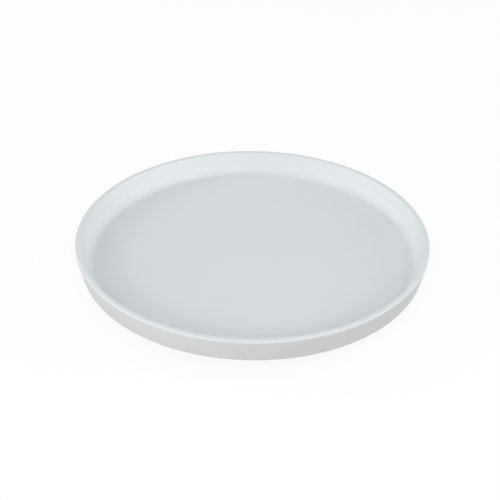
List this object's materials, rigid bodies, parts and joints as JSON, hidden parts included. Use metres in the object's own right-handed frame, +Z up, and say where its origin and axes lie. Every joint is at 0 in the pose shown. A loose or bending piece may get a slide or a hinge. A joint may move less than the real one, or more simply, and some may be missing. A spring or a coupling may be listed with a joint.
{
  "type": "lazy susan turntable",
  "caption": "Round low-walled tray that turns freely on a ball bearing over a low base with rubber feet, for serving at a table or reaching things in a cupboard.",
  "frame": {"origin": "centre of the tray's turning axis, on the surface that the feet stand on", "axes": "+Z up along the turning axis, +X and +Y level"},
  "size_m": [0.3, 0.3, 0.034],
  "materials": {
    "tray_white": "fine satin moulded finish",
    "base_white": "fine matte moulded finish",
    "cage_nylon": "natural nylon",
    "bush_acetal": "smooth black acetal",
    "ball_steel": "polished bearing steel",
    "zinc_steel": "bright zinc plate",
    "foot_rubber": "soft grey rubber"
  },
  "bodies": {
    "base": {"base_plate": "base_white", "pivot_bush": "bush_acetal", "foot_pad_1": "foot_rubber", "foot_pad_2": "foot_rubber", "foot_pad_3": "foot_rubber", "foot_pad_4": "foot_rubber", "foot_pad_5": "foot_rubber", "foot_pad_6": "foot_rubber"},
    "tray": {"tray": "tray_white", "pivot_washer": "zinc_steel", "pivot_screw": "zinc_steel"},
    "cage": {"ball_cage": "cage_nylon"},
    "ball_01": {"ball_01": "ball_steel"},
    "ball_02": {"ball_02": "ball_steel"},
    "ball_03": {"ball_03": "ball_steel"},
    "ball_04": {"ball_04": "ball_steel"},
    "ball_05": {"ball_05": "ball_steel"},
    "ball_06": {"ball_06": "ball_steel"},
    "ball_07": {"ball_07": "ball_steel"},
    "ball_08": {"ball_08": "ball_steel"},
    "ball_09": {"ball_09": "ball_steel"},
    "ball_10": {"ball_10": "ball_steel"},
    "ball_11": {"ball_11": "ball_steel"},
    "ball_12": {"ball_12": "ball_steel"}
  },
  "joints": [
    {"name": "tray_spin", "type": "hinge", "parent": "base", "child": "tray", "pos_m": [0, 0, 0.01], "axis": [0, 0, 1], "continuous": true},
    {"name": "cage_spin", "type": "hinge", "parent": "base", "child": "cage", "pos_m": [0, 0, 0.01], "axis": [0, 0, 1], "continuous": true},
    {"name": "ball_01_roll", "type": "hinge", "parent": "cage", "child": "ball_01", "pos_m": [0.08, 0, 0.01], "axis": [1, 0, 0], "continuous": true},
    {"name": "ball_02_roll", "type": "hinge", "parent": "cage", "child": "ball_02", "pos_m": [0.06928, 0.04, 0.01], "axis": [0.866, 0.5, 0], "continuous": true},
    {"name": "ball_03_roll", "type": "hinge", "parent": "cage", "child": "ball_03", "pos_m": [0.04, 0.06928, 0.01], "axis": [0.5, 0.866, 0], "continuous": true},
    {"name": "ball_04_roll", "type": "hinge", "parent": "cage", "child": "ball_04", "pos_m": [0, 0.08, 0.01], "axis": [0, 1, 0], "continuous": true},
    {"name": "ball_05_roll", "type": "hinge", "parent": "cage", "child": "ball_05", "pos_m": [-0.04, 0.06928, 0.01], "axis": [-0.5, 0.866, 0], "continuous": true},
    {"name": "ball_06_roll", "type": "hinge", "parent": "cage", "child": "ball_06", "pos_m": [-0.06928, 0.04, 0.01], "axis": [-0.866, 0.5, 0], "continuous": true},
    {"name": "ball_07_roll", "type": "hinge", "parent": "cage", "child": "ball_07", "pos_m": [-0.08, 0, 0.01], "axis": [-1, 0, 0], "continuous": true},
    {"name": "ball_08_roll", "type": "hinge", "parent": "cage", "child": "ball_08", "pos_m": [-0.06928, -0.04, 0.01], "axis": [-0.866, -0.5, 0], "continuous": true},
    {"name": "ball_09_roll", "type": "hinge", "parent": "cage", "child": "ball_09", "pos_m": [-0.04, -0.06928, 0.01], "axis": [-0.5, -0.866, 0], "continuous": true},
    {"name": "ball_10_roll", "type": "hinge", "parent": "cage", "child": "ball_10", "pos_m": [0, -0.08, 0.01], "axis": [0, -1, 0], "continuous": true},
    {"name": "ball_11_roll", "type": "hinge", "parent": "cage", "child": "ball_11", "pos_m": [0.04, -0.06928, 0.01], "axis": [0.5, -0.866, 0], "continuous": true},
    {"name": "ball_12_roll", "type": "hinge", "parent": "cage", "child": "ball_12", "pos_m": [0.06928, -0.04, 0.01], "axis": [0.866, -0.5, 0], "continuous": true}
  ],
  "couplings": [
    {"joint": "cage_spin", "follows": "tray_spin", "ratio": 0.5},
    {"joint": "ball_01_roll", "follows": "tray_spin", "ratio": -13.333},
    {"joint": "ball_02_roll", "follows": "tray_spin", "ratio": -13.333},
    {"joint": "ball_03_roll", "follows": "tray_spin", "ratio": -13.333},
    {"joint": "ball_04_roll", "follows": "tray_spin", "ratio": -13.333},
    {"joint": "ball_05_roll", "follows": "tray_spin", "ratio": -13.333},
    {"joint": "ball_06_roll", "follows": "tray_spin", "ratio": -13.333},
    {"joint": "ball_07_roll", "follows": "tray_spin", "ratio": -13.333},
    {"joint": "ball_08_roll", "follows": "tray_spin", "ratio": -13.333},
    {"joint": "ball_09_roll", "follows": "tray_spin", "ratio": -13.333},
    {"joint": "ball_10_roll", "follows": "tray_spin", "ratio": -13.333},
    {"joint": "ball_11_roll", "follows": "tray_spin", "ratio": -13.333},
    {"joint": "ball_12_roll", "follows": "tray_spin", "ratio": -13.333}
  ]
}
